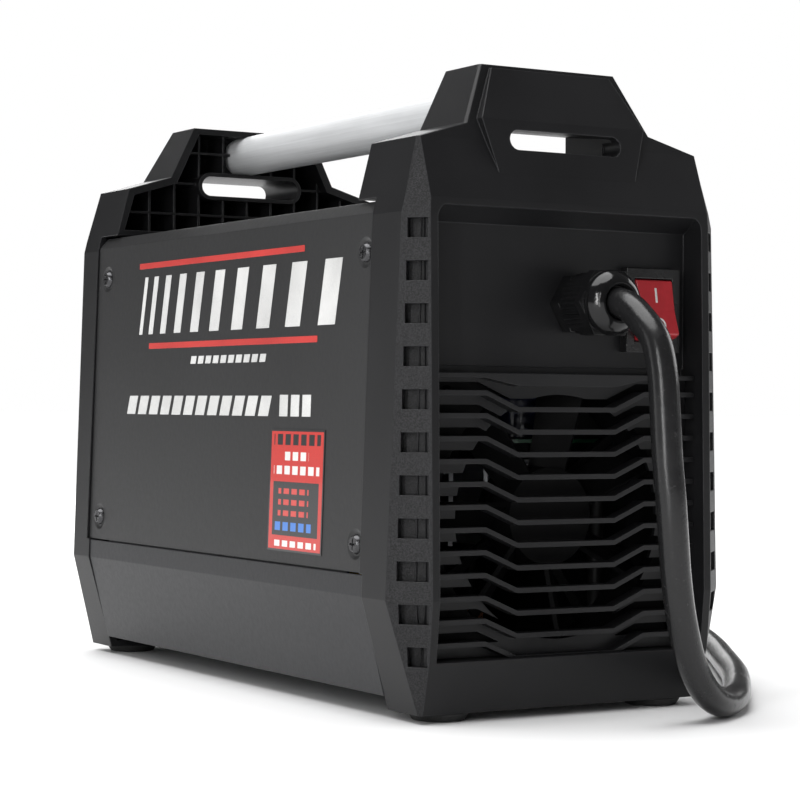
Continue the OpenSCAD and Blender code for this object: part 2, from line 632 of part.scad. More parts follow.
// round section carried along a path
module swept(path, r, sides) {
  loft([for (i = [len(path) - 1 : -1 : 0])
    let (t = heading(path, i), c = cross(t, [0.6, 0.5, 0.6]), u = c / norm(c), v = cross(t, u))
      [for (j = [0 : sides - 1])
        path[i] + r * (u * cos(360 * j / sides) - v * sin(360 * j / sides))]]);
}
module power_cord() color([0.1, 0.1, 0.1])
  swept(smooth(concat(cord_path, [coil_entry]), 2), cord_radius, 12);
module cord_coil() color([0.1, 0.1, 0.1]) translate([coil_x, coil_y, coil_z])
  rotate_extrude($fn = 64) translate([coil_radius, 0]) {
    square([2 * strand, strand], center = true);
    for (s = [-1, 1]) translate([strand * s, 0]) circle(r = cord_radius, $fn = 24);
  }
module cord_tail() color([0.1, 0.1, 0.1]) swept(tail_path, cord_radius, 12);

// frame of reference at the end of the tail, with +X pointing out of the plug's face
module at_plug() {
  p = tail_point(plug_angle);
  translate(p) rotate([0, 0, plug_angle + 90]) children();
}
module turned(x0, x1, r0, r1, sides = 48) {
  translate([x0, 0, 0]) rotate([0, 90, 0]) cylinder(r1 = r0, r2 = r1, h = x1 - x0, $fn = sides);
}
module plug_body() color([0.08, 0.08, 0.08]) at_plug() difference() {
  union() {
    turned(-6, 22, 7.4, 9.5);
    turned(22, 34, 9.5, 17);
    turned(34, 58, 17, 17);
    turned(58, 66, 18.5, 18.5);
  }
  turned(-7, 1, cord_radius + in_fit, cord_radius + in_fit, 32);
}
module plug_pins() color([0.75, 0.7, 0.5]) at_plug() {
  for (s = [-1, 1]) box([66, s * 8 - 0.8, -2.8], [86, s * 8 + 0.8, 9.2]);
  turned(66, 88, 2.8, 2.8, 32);
}

front_frame();
rear_frame();
rear_grille();
cover();
tray();
foot_rear_left();
foot_rear_right();
foot_front_left();
foot_front_right();
handle_tube();
cover_screws_left();
cover_screws_right();
rating_label();
gland_base();
gland_collar();
gland_cap();
gland_seal();
gland_locknut();
switch_body();
switch_rocker();
fan_frame();
fan_rotor();
fan_screws();
standoffs();
main_board();
heatsink_left();
heatsink_right();
power_modules();
transformer_core();
transformer_coil();
choke_core();
choke_coil();
bus_capacitors();
rectifier();
inrush_relay();
control_board();
control_plate();
display_window();
led_power();
led_fault();
current_knob();
current_pot();
force_knob();
force_pot();
socket_left();
socket_right();
contact_left();
contact_right();
bus_bar_left();
bus_bar_right();
power_cord();
cord_coil();
cord_tail();
plug_body();
plug_pins();
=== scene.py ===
"""Looks of a stick welding inverter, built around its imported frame.

Everything is in metres in the frame's own axes: the origin is on the floor under
the middle of the body, +Y is the mains end and +Z is up.
"""

import json
import math

import bmesh
import bpy
from mathutils import Matrix, Vector


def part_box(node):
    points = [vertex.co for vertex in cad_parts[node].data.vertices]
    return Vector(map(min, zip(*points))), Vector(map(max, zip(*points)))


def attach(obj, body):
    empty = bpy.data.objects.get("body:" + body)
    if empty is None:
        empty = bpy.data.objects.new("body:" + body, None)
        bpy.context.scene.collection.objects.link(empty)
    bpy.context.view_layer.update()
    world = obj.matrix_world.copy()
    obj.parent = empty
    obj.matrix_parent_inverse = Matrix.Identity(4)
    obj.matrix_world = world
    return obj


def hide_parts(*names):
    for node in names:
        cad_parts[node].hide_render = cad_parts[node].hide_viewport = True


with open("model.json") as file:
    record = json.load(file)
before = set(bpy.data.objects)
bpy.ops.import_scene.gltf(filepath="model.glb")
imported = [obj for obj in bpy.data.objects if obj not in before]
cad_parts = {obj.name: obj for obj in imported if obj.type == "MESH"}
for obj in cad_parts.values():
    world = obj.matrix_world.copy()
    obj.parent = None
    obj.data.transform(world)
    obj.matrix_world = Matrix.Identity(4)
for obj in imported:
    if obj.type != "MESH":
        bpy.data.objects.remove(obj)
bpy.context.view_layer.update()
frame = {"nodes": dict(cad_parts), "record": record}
scene = bpy.context.scene
MM = 0.001


# ---------------- camera ----------------


EYE = Vector((0.5571, 0.9594, 0.1283))
EYE_TURN = (30.90, 0.122, 0.373)
LENS, SENSOR = 104.68, 36


def aim_camera():
    """Long lens near the mains end, looking almost level along the body."""
    yaw, pitch, roll = (math.radians(angle) for angle in EYE_TURN)
    ahead = Vector(
        (-math.sin(yaw) * math.cos(pitch), -math.cos(yaw) * math.cos(pitch), math.sin(pitch))
    )
    right = ahead.cross(Vector((0, 0, 1))).normalized()
    up = right.cross(ahead)
    side = right * math.cos(roll) + up * math.sin(roll)
    top = up * math.cos(roll) - right * math.sin(roll)
    data = bpy.data.cameras.new("camera")
    data.lens, data.sensor_width = LENS, SENSOR
    data.clip_start, data.clip_end = 0.05, 30
    camera = bpy.data.objects.new("camera", data)
    turn = Matrix((side, top, -ahead)).transposed().to_4x4()
    camera.matrix_world = Matrix.Translation(EYE) @ turn
    scene.collection.objects.link(camera)
    scene.camera = camera


aim_camera()


# ---------------- finishes ----------------


class Value:
    """Output of a shader node that takes part in Python arithmetic."""

    def __init__(self, finish, socket):
        self.finish, self.socket = finish, socket

    def maths(self, operation, *terms, clamp=False):
        settings = {"operation": operation, "use_clamp": clamp}
        return self.finish.node("Math", settings, dict(enumerate(terms)))

    def __add__(self, other):
        return self.maths("ADD", self, other)

    def __sub__(self, other):
        return self.maths("SUBTRACT", self, other)

    def __rsub__(self, other):
        return self.maths("SUBTRACT", other, self)

    def __mul__(self, other):
        return self.maths("MULTIPLY", self, other)

    def __truediv__(self, other):
        return self.maths("DIVIDE", self, other)

    def __abs__(self):
        return self.maths("ABSOLUTE", self)

    def __gt__(self, other):
        return self.maths("GREATER_THAN", self, other)

    def __lt__(self, other):
        return self.maths("LESS_THAN", self, other)

    __radd__, __rmul__ = __add__, __mul__

    def wave(self):
        return self.maths("SINE", self)

    def between(self, low, high):
        """0 below low, 1 above high, and a straight ramp between them."""
        return self.maths("MULTIPLY", self - low, 1 / (high - low), clamp=True)


class Finish:
    """Material whose numbers vary over the surface through shader nodes."""

    def __init__(self, name, colour, roughness, **fixed):
        self.material = bpy.data.materials.new(name)
        self.material.use_nodes = True
        self.tree = self.material.node_tree
        self.shader = self.tree.nodes["Principled BSDF"]
        self.material.diffuse_color = (*colour[:3], 1)
        self.set("Base Color", (*colour[:3], 1))
        self.set("Roughness", roughness)
        for socket, value in fixed.items():
            self.set(socket.replace("_", " "), value)
        self.place = self.node("TexCoord", out="Object")

    def node(self, kind, settings=None, sockets=None, out=0):
        made = self.tree.nodes.new("ShaderNode" + kind)
        for key, value in (settings or {}).items():
            if key == "stops":
                ramp = made.color_ramp
                while len(ramp.elements) < len(value):
                    ramp.elements.new(1)
                for stop, (position, tone) in zip(ramp.elements, value):
                    stop.position, stop.color = position, tone
            else:
                setattr(made, key, value)
        for key, value in (sockets or {}).items():
            self.feed(made.inputs[key], value)
        return Value(self, made.outputs[out])

    def feed(self, socket, value):
        if isinstance(value, Value):
            self.tree.links.new(value.socket, socket)
        else:
            socket.default_value = value

    def set(self, socket, value):
        self.feed(self.shader.inputs[socket], value)

    def noise(self, scale, detail=3.0, roughness=0.55, stretch=None):
        place = self.place
        if stretch:
            place = self.node("Mapping", sockets={"Vector": place, "Scale": stretch})
        sockets = {"Vector": place, "Scale": scale, "Detail": detail, "Roughness": roughness}
        return self.node("TexNoise", {"noise_dimensions": "3D"}, sockets, "Fac")

    def axis(self, name):
        return self.node("SeparateXYZ", sockets={0: self.place}, out=name)

    def facing(self, name):
        normal = self.node("NewGeometry", out="Normal")
        return self.node("SeparateXYZ", sockets={0: normal}, out=name)

    def mix(self, share, first, second):
        def tone(c):
            return (*c[:3], 1) if isinstance(c, tuple) else c

        sockets = {"Factor": share, 6: tone(first), 7: tone(second)}
        return self.node("Mix", {"data_type": "RGBA"}, sockets, out=2)

    def softened(self, radius):
        """Normal rounded over the edges, and a mask of those edges."""
        rounded = self.node("Bevel", {"samples": 4}, {"Radius": radius})
        flat = self.node("NewGeometry", out="Normal")
        sockets = {0: rounded, 1: flat}
        along = self.node("VectorMath", {"operation": "DOT_PRODUCT"}, sockets, out="Value")
        return rounded, (1 - along).between(0.02, 0.3)

    def bump(self, height, depth, under=None):
        sockets = {"Height": height, "Distance": depth}
        if under is not None:
            sockets["Normal"] = under
        self.set("Normal", self.node("Bump", sockets=sockets))


def lighter(colour, factor):
    return tuple(min(1.0, c * factor) for c in colour[:3])


def moulding(name, colour, roughness, grain=1700, depth=0.06 * MM, **fixed):
    """Spark-eroded plastic: fine grain, faint clouding, and rounded edges painted lighter as a
    painted highlight.
    """
    f = Finish(name, colour, roughness, **fixed)
    rounded, painted_edge_highlight = f.softened(0.4 * MM)
    cloud = f.noise(28, 4)
    speck = f.noise(grain, 2, 0.6)
    shade = (cloud * 0.6 + speck * 0.4).between(0.25, 0.75)
    plain = f.mix(shade, lighter(colour, 0.72), lighter(colour, 1.3))
    # painted highlight: the edges are painted lighter than the plastic
    f.set("Base Color", f.mix(painted_edge_highlight, plain, lighter(colour, 2.4)))
    f.set("Roughness", cloud.between(0.3, 0.7) * 0.1 + (roughness - 0.05) + speck * 0.06)
    f.bump(speck, depth, rounded)
    return f


def frame_moulding(name, colour):
    """Black end frame: fine grain, and a coarser, paler one on the corner strips."""
    f = Finish(name, colour, 0.42, Specular_IOR_Level=0.25)
    rounded, painted_edge_highlight = f.softened(0.7 * MM)
    strip = abs(f.facing("X") * f.facing("Y")).between(0.34, 0.42)
    cloud = f.noise(22, 4)
    fine = f.noise(2300, 2, 0.6)
    coarse = f.noise(1500, 3, 0.65)
    scratch = f.noise(90, 5, 0.7, stretch=(0.15, 0.15, 5.0)).between(0.66, 0.72)
    shade = (cloud * 0.7 + fine * 0.3).between(0.2, 0.8)
    plain = f.mix(shade, lighter(colour, 0.75), lighter(colour, 1.25))
    rough = f.mix(coarse.between(0.4, 0.62), lighter(colour, 0.6), lighter(colour, 2.6))
    body = f.mix(strip, plain, rough)
    # painted highlight: the edges, broken up by the coarse grain, are painted much lighter than
    # the plastic
    f.set("Base Color", f.mix(painted_edge_highlight * (coarse * 0.6 + 0.4), body, lighter(colour, 6.0)))
    f.set("Roughness", cloud * 0.1 + 0.33 + strip * 0.06 - scratch * 0.06 - painted_edge_highlight * 0.08)
    f.bump(fine * (1 - strip) + coarse * strip * 5.0, 0.05 * MM, rounded)
    return f


def powder_coat(name, colour, roughness):
    """Baked powder on sheet steel: orange peel, fine speckle and dust in the grain."""
    f = Finish(name, colour, roughness, Specular_IOR_Level=0.28)
    rounded, painted_edge_highlight = f.softened(0.6 * MM)
    cloud = f.noise(9, 4)
    peel = f.noise(420, 3, 0.5)
    speck = f.noise(2600, 1, 0.5)
    shade = (cloud * 0.5 + speck * 0.5).between(0.3, 0.7)
    plain = f.mix(shade, lighter(colour, 0.86), lighter(colour, 1.14))
    # painted highlight: the edges are painted lighter than the paint
    f.set("Base Color", f.mix(painted_edge_highlight, plain, lighter(colour, 2.0)))
    f.set("Roughness", peel * 0.14 + cloud * 0.08 + (roughness - 0.11))
    f.bump(peel * 0.7 + speck * 0.3, 0.07 * MM, rounded)
    return f


def drawn_metal(name, colour, roughness, stretch, **fixed):
    """Metal with the fine lines of drawing or turning along one direction."""
    f = Finish(name, colour, roughness, **fixed)
    lines = f.noise(900, 3, 0.6, stretch=stretch)
    cloud = f.noise(30, 3)
    shade = (lines * 0.7 + cloud * 0.3).between(0.3, 0.7)
    f.set("Base Color", f.mix(shade, lighter(colour, 0.88), lighter(colour, 1.08)))
    f.set("Roughness", lines * 0.14 + cloud * 0.08 + (roughness - 0.11))
    f.bump(lines, 0.02 * MM)
    return f


def sheath(name, colour):
    """Extruded rubber sheath: slow ripple, fine lengthwise haze and dust."""
    f = Finish(name, colour, 0.36, Specular_IOR_Level=0.36)
    ripple = f.noise(60, 3, 0.5)
    haze = f.noise(900, 3, 0.6)
    dust = f.noise(260, 4, 0.7).between(0.58, 0.75)
    shade = f.mix(haze, lighter(colour, 0.8), lighter(colour, 1.25))
    f.set("Base Color", f.mix(dust * 0.25, shade, (0.05, 0.049, 0.048)))
    f.set("Roughness", ripple * 0.08 + haze * 0.05 + dust * 0.08 + 0.16)
    f.bump(ripple * 3.0 + haze * 0.5, 0.12 * MM)
    return f


def circuit_board(name):
    """Solder mask with copper tracks, pads and the weave of the laminate."""
    f = Finish(name, (0.012, 0.11, 0.045), 0.32, Coat_Weight=0.3)
    cells = f.node("TexVoronoi", {"distance": "MANHATTAN"}, {"Vector": f.place, "Scale": 120.0})
    pads = cells < 0.16
    tracks = f.node(
        "TexBrick",
        {"offset": 0.37, "squash": 1.6},
        {"Vector": f.place, "Scale": 55.0, "Mortar Size": 0.045, "Brick Width": 0.9},
        out="Fac",
    )
    weave = f.noise(700, 2, 0.5)
    mask = f.mix(weave, (0.008, 0.085, 0.03), (0.016, 0.13, 0.055))
    mask = f.mix(tracks * 0.6, mask, (0.035, 0.22, 0.09))
    f.set("Base Color", f.mix(pads, mask, (0.62, 0.6, 0.55)))
    f.set("Metallic", pads * 0.9)
    f.set("Roughness", pads * -0.05 + weave * 0.1 + 0.3)
    f.bump(tracks * 0.5 + pads, 0.1 * MM)
    return f


def printed_label(name):
    """Printed film: two fields in a frame line, and plain bars in place of small print."""
    low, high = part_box("rating_label")
    f = Finish(name, (0.55, 0.035, 0.03), 0.3, Coat_Weight=0.4)
    across = (f.axis("Y") - low.y) / (high.y - low.y)
    up = (f.axis("Z") - low.z) / (high.z - low.z)

    def field(left, right, bottom, top):
        return (across > left) * (across < right) * (up > bottom) * (up < top)

    fleck = f.noise(1500, 2)
    black, white = (0.012, 0.012, 0.013), (0.8, 0.79, 0.77)
    tone = f.mix(fleck, (0.5, 0.028, 0.022), (0.62, 0.04, 0.03))
    gaps_across = 43.0
    breaks = (across * gaps_across).wave() > -0.55
    tone = f.mix(field(0.07, 0.93, 0.87, 0.96) * breaks, tone, black)
    tone = f.mix(field(0.28, 0.72, 0.745, 0.815) * breaks, tone, white)
    tone = f.mix(field(0.08, 0.92, 0.63, 0.7) * breaks, tone, white)
    tone = f.mix(field(0.08, 0.92, 0.13, 0.57), tone, black)
    for bottom in (0.47, 0.38, 0.29):
        row = field(0.18, 0.74, bottom, bottom + 0.045) * breaks
        tone = f.mix(row, tone, (0.6, 0.05, 0.04))
    tone = f.mix(field(0.12, 0.8, 0.17, 0.24) * breaks, tone, (0.05, 0.2, 0.62))
    tone = f.mix(field(0.1, 0.9, 0.04, 0.09) * breaks, tone, white)
    tone = f.mix(1 - field(0.02, 0.98, 0.018, 0.982), tone, black)
    f.set("Base Color", tone)
    f.set("Roughness", fleck * 0.08 + 0.26)
    f.bump(fleck, 0.03 * MM)
    return f


def wound_tape(name, colour):
    """Layers of shiny tape over a winding."""
    f = Finish(name, colour, 0.3, Coat_Weight=0.5)
    turns = (f.axis("Z") * 1600.0).wave()
    wrinkle = f.noise(160, 4)
    f.set("Base Color", f.mix(wrinkle, lighter(colour, 0.7), lighter(colour, 1.2)))
    f.set("Roughness", wrinkle * 0.2 + 0.2)
    f.bump(turns * 0.3 + wrinkle, 0.2 * MM)
    return f


def clear_lens(name, colour, roughness, **fixed):
    """Tinted moulded lens with a slightly uneven surface."""
    f = Finish(name, colour, roughness, **fixed)
    haze = f.noise(300, 3)
    f.set("Base Color", f.mix(haze, lighter(colour, 0.8), lighter(colour, 1.2)))
    f.set("Roughness", haze * 0.08 + (roughness - 0.04))
    f.bump(haze, 0.03 * MM)
    return f


FINISHES = {
    "frame_plastic": frame_moulding("frame_plastic", (0.0095, 0.0095, 0.0103)),
    "grille_plastic": moulding(
        "grille_plastic", (0.009, 0.009, 0.0098), 0.38, grain=2000, Specular_IOR_Level=0.32
    ),
    "cover_paint": powder_coat("cover_paint", (0.0225, 0.0225, 0.0232), 0.38),
    "tray_paint": powder_coat("tray_paint", (0.0205, 0.0208, 0.0228), 0.4),
    "foot_rubber": moulding("foot_rubber", (0.012, 0.012, 0.012), 0.7, grain=900, depth=0.2 * MM),
    "handle_aluminium": drawn_metal(
        "handle_aluminium", (0.63, 0.64, 0.65), 0.42, (1.0, 0.02, 1.0), Metallic=0.15
    ),
    "screw_steel": drawn_metal("screw_steel", (0.07, 0.07, 0.073), 0.26, (1, 1, 1), Metallic=0.8),
    "label_film": printed_label("label_film"),
    "gland_plastic": moulding(
        "gland_plastic", (0.006, 0.006, 0.0064), 0.1, grain=300, Specular_IOR_Level=0.36
    ),
    "seal_rubber": moulding("seal_rubber", (0.01, 0.01, 0.01), 0.6),
    "switch_plastic": moulding("switch_plastic", (0.009, 0.009, 0.0095), 0.24, grain=500),
    "rocker_red": clear_lens("rocker_red", (0.37, 0.021, 0.028), 0.34, Coat_Weight=0.15),
    # fan_plastic is set far darker than real black plastic: painted shade for the dark inside of
    # the body round the fan
    "fan_plastic": moulding(
        "fan_plastic", (0.003, 0.003, 0.0032), 0.6, Specular_IOR_Level=0.12
    ),
    "brass_parts": drawn_metal("brass_parts", (0.72, 0.53, 0.26), 0.3, (1, 1, 1), Metallic=1.0),
    "board_green": circuit_board("board_green"),
    "heatsink_aluminium": drawn_metal(
        "heatsink_aluminium", (0.6, 0.61, 0.63), 0.36, (1.0, 0.03, 1.0), Metallic=1.0
    ),
    "module_plastic": moulding("module_plastic", (0.02, 0.02, 0.02), 0.5),
    "ferrite": moulding("ferrite", (0.035, 0.035, 0.038), 0.6, grain=500, depth=0.2 * MM),
    "winding_tape": wound_tape("winding_tape", (0.62, 0.36, 0.05)),
    "copper": drawn_metal("copper", (0.72, 0.34, 0.18), 0.28, (1, 1, 1), Metallic=1.0),
    "capacitor_sleeve": wound_tape("capacitor_sleeve", (0.015, 0.02, 0.07)),
    "relay_plastic": moulding("relay_plastic", (0.02, 0.06, 0.24), 0.3),
    "panel_paint": moulding("panel_paint", (0.035, 0.038, 0.042), 0.36, grain=2600),
    "display_lens": clear_lens("display_lens", (0.1, 0.005, 0.006), 0.12, Alpha=0.75),
    "led_green": clear_lens("led_green", (0.08, 0.5, 0.12), 0.16, Transmission_Weight=0.2),
    "led_amber": clear_lens("led_amber", (0.75, 0.34, 0.04), 0.16, Transmission_Weight=0.2),
    "knob_plastic": moulding("knob_plastic", (0.013, 0.013, 0.014), 0.42),
    "socket_plastic": moulding("socket_plastic", (0.012, 0.012, 0.012), 0.46),
    "cord_rubber": sheath("cord_rubber", (0.012, 0.012, 0.0126)),
    "plug_plastic": moulding("plug_plastic", (0.014, 0.014, 0.015), 0.3, grain=700),
    "print_white": moulding("print_white", (0.62, 0.62, 0.61), 0.45, grain=2400, depth=0.02 * MM),
    "print_red": moulding("print_red", (0.5, 0.03, 0.025), 0.42, grain=2400, depth=0.02 * MM),
    "hook_band": moulding("hook_band", (0.012, 0.012, 0.013), 0.85, grain=1500, depth=0.4 * MM),
    "display_bars": clear_lens("display_bars", (0.3, 0.02, 0.015), 0.3),
}

# softened edges of the CAD parts: width of the chamfer in millimetres
EDGES = {
    "cover": 0.35,
    "tray": 0.35,
    "gland_base": 0.4,
    "gland_cap": 0.4,
    "gland_collar": 0.2,
    "gland_locknut": 0.4,
    "switch_body": 0.5,
    "switch_rocker": 1.1,
    "cover_screws_left": 0.15,
    "cover_screws_right": 0.15,
    "foot_rear_left": 0.5,
    "foot_rear_right": 0.5,
    "foot_front_left": 0.5,
    "foot_front_right": 0.5,
    "current_knob": 0.3,
    "force_knob": 0.3,
    "control_plate": 0.2,
    "socket_left": 0.4,
    "socket_right": 0.4,
    "plug_body": 0.8,
    "plug_pins": 0.3,
}


def dress_frame():
    """Puts each CAD part in its finish and softens its edges."""
    for row in frame["record"]["subparts"]:
        part = frame["nodes"][row["node"]]
        material = FINISHES[row["material_slot"]].material
        if not part.material_slots:
            part.data.materials.append(material)
        for place in part.material_slots:
            place.material = material
        if row["node"] in EDGES:
            weld = part.modifiers.new("weld", "WELD")
            weld.merge_threshold = 0.002 * MM
            flat = part.modifiers.new("flat", "DECIMATE")
            flat.decimate_type = "DISSOLVE"
            flat.angle_limit = math.radians(0.6)
            edge = part.modifiers.new("edge", "BEVEL")
            edge.width = EDGES[row["node"]] * MM
            edge.segments = 2
            edge.limit_method = "ANGLE"
            edge.angle_limit = math.radians(28)
            edge.use_clamp_overlap = True
            edge.harden_normals = True


# ---------------- cord ----------------

# all in millimetres: the cord's thickness, the coil's middle and mean radius, and the
# way from the gland down to the floor and along it to the coil
CORD = 12.4
COIL = Vector((-185, -160, 6.5))
COIL_RADIUS = 65
ROUTE = [
    (-9.8, 178, 171), (-9.8, 186, 171), (-9.8, 193.5, 168.9), (-9.9, 201.5, 163.9),
    (-10, 211.2, 155), (-10, 215.9, 142.1), (-10.2, 217.6, 125), (-10.8, 218.5, 107.1),
    (-12, 219.3, 91.1), (-13.6, 219.1, 75.1), (-16, 218, 59), (-20, 216.6, 41.9),
    (-27, 214.3, 24.5), (-37, 211.5, 12), (-51, 204.5, 6.5), (-69, 190, 6.5),
    (-92, 163, 6.5), (-120, 127, 6.5), (-150, 83, 6.5), (-182, 35, 6.5), (-212, -14, 6.5),
    (-237, -62, 6.5), (-254, -104, 6.5), (-261, -140, 6.5),
]  # fmt: skip


def ease(x, low, high):
    t = max(0.0, min(1.0, (x - low) / (high - low)))
    return t * t * (3 - 2 * t)


def coil_point(degrees, radius, rise):
    angle = math.radians(degrees)
    return COIL + Vector((radius * math.cos(angle), radius * math.sin(angle), rise))


def cord_points():
    """Route to the coil, three flat turns and the end that climbs to the plug."""
    outer, middle, inner = COIL_RADIUS + CORD, COIL_RADIUS, COIL_RADIUS - CORD
    points = [Vector(p) for p in ROUTE]
    for degrees in range(180, 1140, 12):
        first = (outer - middle) * ease(degrees, 485, 525)
        second = (middle - inner) * ease(degrees, 845, 885)
        points.append(coil_point(degrees, outer - first - second, 0))
    for degrees in range(1140, 1311, 10):
        turned = degrees - 1080
        rise = CORD * ease(turned, 60, 125) + 13 * ease(turned, 160, 230)
        points.append(coil_point(degrees, inner + 10 * ease(turned, 115, 205), rise))
    return points


def smooth_line(points, steps):
    """Catmull-Rom line through the points."""
    ends = [points[0] * 2 - points[1], *points, points[-1] * 2 - points[-2]]
    line = []
    for i in range(1, len(ends) - 2):
        a, b, c, d = ends[i - 1 : i + 3]
        for k in range(steps):
            t = k / steps
            line.append(
                0.5
                * (
                    2 * b
                    + (c - a) * t
                    + (2 * a - 5 * b + 4 * c - d) * t * t
                    + (3 * b - a - 3 * c + d) * t * t * t
                )
            )
    return line + [points[-1]]


def lay_cord():
    line = [p * MM for p in smooth_line(cord_points(), 5)]
    data = bpy.data.curves.new("mains_lead", "CURVE")
    data.dimensions = "3D"
    data.bevel_depth = CORD / 2 * MM
    data.bevel_resolution = 7
    data.use_fill_caps = True
    spline = data.splines.new("POLY")
    spline.points.add(len(line) - 1)
    for knot, p in zip(spline.points, line):
        knot.co = (*p, 1)
    lead = bpy.data.objects.new("mains_lead", data)
    scene.collection.objects.link(lead)
    data.materials.append(FINISHES["cord_rubber"].material)
    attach(lead, "housing")
    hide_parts("power_cord", "cord_coil", "cord_tail")
    return lead


lead = lay_cord()


# ---------------- mesh pieces ----------------


def piece(name, points, faces, finish, body="housing", smooth=False):
    """Mesh piece from corner points in millimetres, riding on a CAD body."""
    mesh = bpy.data.meshes.new(name)
    mesh.from_pydata([Vector(p) * MM for p in points], [], faces)
    shape = bmesh.new()
    shape.from_mesh(mesh)
    bmesh.ops.recalc_face_normals(shape, faces=shape.faces)
    shape.to_mesh(mesh)
    shape.free()
    for face in mesh.polygons:
        face.use_smooth = smooth
    made = bpy.data.objects.new(name, mesh)
    scene.collection.objects.link(made)
    mesh.materials.append(FINISHES[finish].material)
    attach(made, body)
    return made


def prisms(outlines, place, low, high):
    """Closed prisms on outlines: place(u, v, height) gives the point in the frame."""
    points, faces = [], []
    for outline in outlines:
        n, start = len(outline), len(points)
        points += [place(u, v, low) for u, v in outline]
        points += [place(u, v, high) for u, v in outline]
        faces.append([start + i for i in reversed(range(n))])
        faces.append([start + n + i for i in range(n)])
        for i in range(n):
            j = (i + 1) % n
            faces.append([start + i, start + j, start + n + j, start + n + i])
    return points, faces


def turned(outlines, place, steps=48):
    """Closed rings: each outline of (radius, height) points goes once round the axis."""
    points, faces = [], []
    for outline in outlines:
        n, start = len(outline), len(points)
        for k in range(steps):
            angle = 2 * math.pi * k / steps
            points += [place(r * math.cos(angle), r * math.sin(angle), h) for r, h in outline]
        for k in range(steps):
            here, there = start + n * k, start + n * ((k + 1) % steps)
            for i in range(n):
                j = (i + 1) % n
                faces.append([here + i, here + j, there + j, there + i])
    return points, faces


def bar(u0, v0, u1, v1, lean=0.0):
    return [(u0, v0), (u1, v0), (u1 + lean, v1), (u0 + lean, v1)]


# the cover's flank leans in from its lower edge to the bend under the top: (x, z) of both
FLANK_FOOT, FLANK_BEND = (82.4, 59.5), (77.5, 207)


def on_flank(side):
    """Point on the cover's flank from the distance along Y, the height and a lift."""
    (x0, z0), (x1, z1) = FLANK_FOOT, FLANK_BEND

    def place(u, v, lift):
        x = x0 + (v - z0) * (x1 - x0) / (z1 - z0)
        return (side * (x + lift), side * u, v)

    return place


def flank_print():
    """Plain printed bars, lines and dashes on both flanks of the cover."""
    low, high = 0.01, 0.06
    starts = [-90 + 9.6 * k + 1.18 * k * k for k in range(10)]
    bars = [bar(u, 162, u + 3.6 + 1.25 * k, 190, 5) for k, u in enumerate(starts)]
    lines = [bar(-92, 194.2, 78, 197), bar(-78, 154.8, 92, 157.6)]
    small = [bar(-31 + 7.8 * k, 147, -25.4 + 7.8 * k, 150.6, 1) for k in range(10)]
    dashes = [bar(-101 + 12.8 * k, 123, -91.4 + 12.8 * k, 132, 3) for k in range(12)]
    blocks = [bar(60 + 10.4 * k, 123, 67.6 + 10.4 * k, 132.4) for k in range(3)]
    for side, name in ((1, "left"), (-1, "right")):
        white = prisms(bars + small + dashes + blocks, on_flank(side), low, high)
        piece(f"flank_print_{name}", *white, "print_white")
        piece(f"flank_lines_{name}", *prisms(lines, on_flank(side), low, high), "print_red")


# middle of the rocker's hinge
ROCKER_HINGE = (-47, 159, 169.5)


def rocker_marks():
    """I and O on the two faces of the rocker."""
    x0, y0, z0 = ROCKER_HINGE
    upper = [Vector((y0 + 4.6, z0)), Vector((y0 + 2.4, z0 + 13.1))]
    lower = [Vector((y0 + 8.9, z0 - 13.1)), Vector((y0 + 4.6, z0))]

    def on_face(face, middle):
        start, stop = face
        along = (stop - start).normalized()
        out = Vector((along.y, -along.x))

        def place(u, v, lift):
            p = start + along * (v + middle) + out * lift
            return (x0 + u, p.x, p.y)

        return place

    stroke = prisms([bar(-0.5, -3.2, 0.5, 3.2)], on_face(upper, 6.4), -0.05, 0.12)
    piece("rocker_on_mark", *stroke, "print_white", "switch_rocker")
    loop = turned([[(2.3, -0.05), (3.1, -0.05), (3.1, 0.12), (2.3, 0.12)]], on_face(lower, 7.2))
    piece("rocker_off_mark", *loop, "print_white", "switch_rocker")


def on_panel(depth):
    """Point on the output end at a depth: u to the right and v up, seen from outside."""

    def place(u, v, lift):
        return (u, -depth - lift, v)

    return place


# depths of the control plate's, the recess floor's and the display's faces
PLATE_FRONT, RECESS_FRONT, DISPLAY_FRONT = 157.2, 156.0, 157.6
# half of the turn of a knob, and of each dial its middle, the near and far end of the long
# ticks, and their count
DIAL_SWEEP = 150
DIALS = {"current": (24, 157, 15, 18.4, 21), "force": (-36, 164, 11, 13.4, 11)}


def dial_marks():
    """Ticks round both knobs, every fifth or tenth one longer."""
    for name, (u0, v0, near, far, count) in DIALS.items():
        ticks = []
        for k in range(count):
            angle = math.radians(90 + DIAL_SWEEP - 2 * DIAL_SWEEP * k / (count - 1))
            along = Vector((math.cos(angle), math.sin(angle)))
            across = Vector((-along.y, along.x)) * 0.22
            middle = Vector((u0, v0))
            reach = far if k % ((count - 1) // 2) == 0 else (near + far) / 2
            start, stop = middle + along * near, middle + along * reach
            ticks.append([start - across, start + across, stop + across, stop - across])
        piece(f"{name}_ticks", *prisms(ticks, on_panel(PLATE_FRONT), -0.02, 0.04), "print_white")


def figures(name, rows, height):
    """Small printed figures on the control plate, joined into one piece."""
    points, faces = [], []
    place = on_panel(PLATE_FRONT)
    for words, u, v in rows:
        curve = bpy.data.curves.new(name, "FONT")
        curve.body, curve.size, curve.extrude = words, height, 0.03
        curve.align_x, curve.align_y = "CENTER", "CENTER"
        letters = bpy.data.objects.new(name, curve)
        mesh, start = letters.to_mesh(), len(points)
        points += [place(u + p.co.x, v + p.co.y, p.co.z + 0.02) for p in mesh.vertices]
        faces += [[start + i for i in face.vertices] for face in mesh.polygons]
        letters.to_mesh_clear()
        bpy.data.objects.remove(letters)
    return piece(name, points, faces, "print_white")


